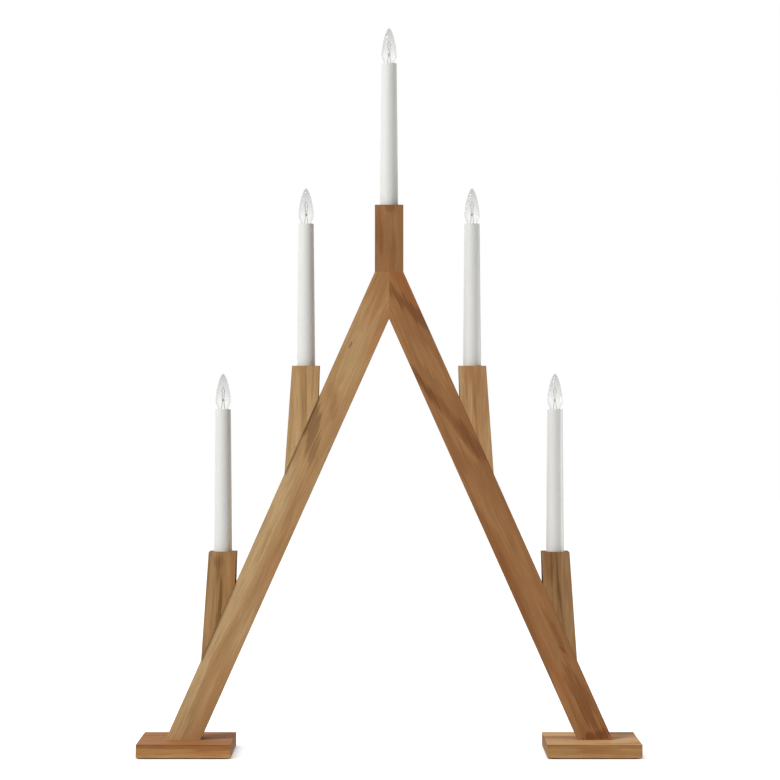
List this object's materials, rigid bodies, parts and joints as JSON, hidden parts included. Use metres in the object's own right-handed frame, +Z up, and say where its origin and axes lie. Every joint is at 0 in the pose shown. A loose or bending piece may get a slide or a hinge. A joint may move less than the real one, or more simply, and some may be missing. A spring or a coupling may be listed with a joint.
{
  "type": "electric candle arch",
  "caption": "A-shaped wooden candle arch: candle tubes on posts along two leaning legs on flat block feet, each tube with a clear flame-shaped screw bulb.",
  "frame": {"origin": "on the floor, midway between the two feet, under the top candle", "axes": "+Z up along the top candle, +X to the viewer's right along the arch, -Y towards the viewer, +Y out of the back with the grooves"},
  "size_m": [0.4378, 0.1, 0.6373],
  "materials": {
    "stained_wood": "satin brown stain on planed softwood",
    "dowel_wood": "bare beech",
    "felt": "needled felt",
    "zinc_steel": "zinc plated",
    "tube_plastic": "semi-gloss white moulding",
    "holder_plastic": "matt white moulding",
    "brass": "rolled brass sheet",
    "solder": "soft solder",
    "clear_glass": "clear blown glass",
    "mount_wire": "drawn nickel wire",
    "cable_sheath": "white PVC sheath"
  },
  "bodies": {
    "frame": {"left_leg": "stained_wood", "right_leg": "stained_wood", "top_post": "stained_wood", "left_upper_post": "stained_wood", "left_lower_post": "stained_wood", "right_upper_post": "stained_wood", "right_lower_post": "stained_wood", "left_foot": "stained_wood", "right_foot": "stained_wood", "felt_pads": "felt", "foot_screws": "zinc_steel", "post_dowels": "dowel_wood", "apex_dowels": "dowel_wood", "left_leg_cable": "cable_sheath", "right_leg_cable": "cable_sheath", "cable_clips": "holder_plastic", "candle_leads": "cable_sheath", "lead_splices": "holder_plastic", "cord_gland": "holder_plastic", "top_candle_tube": "tube_plastic", "top_lamp_holder": "holder_plastic", "top_socket_shell": "brass", "top_socket_tongue": "brass", "left_upper_candle_tube": "tube_plastic", "left_upper_lamp_holder": "holder_plastic", "left_upper_socket_shell": "brass", "left_upper_socket_tongue": "brass", "left_lower_candle_tube": "tube_plastic", "left_lower_lamp_holder": "holder_plastic", "left_lower_socket_shell": "brass", "left_lower_socket_tongue": "brass", "right_upper_candle_tube": "tube_plastic", "right_upper_lamp_holder": "holder_plastic", "right_upper_socket_shell": "brass", "right_upper_socket_tongue": "brass", "right_lower_candle_tube": "tube_plastic", "right_lower_lamp_holder": "holder_plastic", "right_lower_socket_shell": "brass", "right_lower_socket_tongue": "brass"},
    "top_contact": {"top_bulb_contact": "solder"},
    "top_bulb": {"top_bulb_glass": "clear_glass", "top_bulb_cap": "brass", "top_filament_mount": "mount_wire"},
    "left_upper_contact": {"left_upper_bulb_contact": "solder"},
    "left_upper_bulb": {"left_upper_bulb_glass": "clear_glass", "left_upper_bulb_cap": "brass", "left_upper_filament_mount": "mount_wire"},
    "left_lower_contact": {"left_lower_bulb_contact": "solder"},
    "left_lower_bulb": {"left_lower_bulb_glass": "clear_glass", "left_lower_bulb_cap": "brass", "left_lower_filament_mount": "mount_wire"},
    "right_upper_contact": {"right_upper_bulb_contact": "solder"},
    "right_upper_bulb": {"right_upper_bulb_glass": "clear_glass", "right_upper_bulb_cap": "brass", "right_upper_filament_mount": "mount_wire"},
    "right_lower_contact": {"right_lower_bulb_contact": "solder"},
    "right_lower_bulb": {"right_lower_bulb_glass": "clear_glass", "right_lower_bulb_cap": "brass", "right_lower_filament_mount": "mount_wire"}
  },
  "joints": [
    {"name": "top_bulb_lift", "type": "slide", "parent": "frame", "child": "top_contact", "axis": [0, 0, 1], "range_m": [0, 0.0082]},
    {"name": "top_bulb_turn", "type": "hinge", "parent": "top_contact", "child": "top_bulb", "pos_m": [0, 0, 0.60634], "axis": [0, 0, 1], "range_deg": [0, 1620]},
    {"name": "left_upper_bulb_lift", "type": "slide", "parent": "frame", "child": "left_upper_contact", "axis": [0, 0, 1], "range_m": [0, 0.0082]},
    {"name": "left_upper_bulb_turn", "type": "hinge", "parent": "left_upper_contact", "child": "left_upper_bulb", "pos_m": [-0.073, 0, 0.46529], "axis": [0, 0, 1], "range_deg": [0, 1620]},
    {"name": "left_lower_bulb_lift", "type": "slide", "parent": "frame", "child": "left_lower_contact", "axis": [0, 0, 1], "range_m": [0, 0.0082]},
    {"name": "left_lower_bulb_turn", "type": "hinge", "parent": "left_lower_contact", "child": "left_lower_bulb", "pos_m": [-0.146, 0, 0.3021], "axis": [0, 0, 1], "range_deg": [0, 1620]},
    {"name": "right_upper_bulb_lift", "type": "slide", "parent": "frame", "child": "right_upper_contact", "axis": [0, 0, 1], "range_m": [0, 0.0082]},
    {"name": "right_upper_bulb_turn", "type": "hinge", "parent": "right_upper_contact", "child": "right_upper_bulb", "pos_m": [0.073, 0, 0.46529], "axis": [0, 0, 1], "range_deg": [0, 1620]},
    {"name": "right_lower_bulb_lift", "type": "slide", "parent": "frame", "child": "right_lower_contact", "axis": [0, 0, 1], "range_m": [0, 0.0082]},
    {"name": "right_lower_bulb_turn", "type": "hinge", "parent": "right_lower_contact", "child": "right_lower_bulb", "pos_m": [0.146, 0, 0.3021], "axis": [0, 0, 1], "range_deg": [0, 1620]}
  ],
  "couplings": [
    {"joint": "top_bulb_lift", "follows": "top_bulb_turn", "m_per_rad": 0.00028871},
    {"joint": "left_upper_bulb_lift", "follows": "left_upper_bulb_turn", "m_per_rad": 0.00028871},
    {"joint": "left_lower_bulb_lift", "follows": "left_lower_bulb_turn", "m_per_rad": 0.00028871},
    {"joint": "right_upper_bulb_lift", "follows": "right_upper_bulb_turn", "m_per_rad": 0.00028871},
    {"joint": "right_lower_bulb_lift", "follows": "right_lower_bulb_turn", "m_per_rad": 0.00028871}
  ]
}
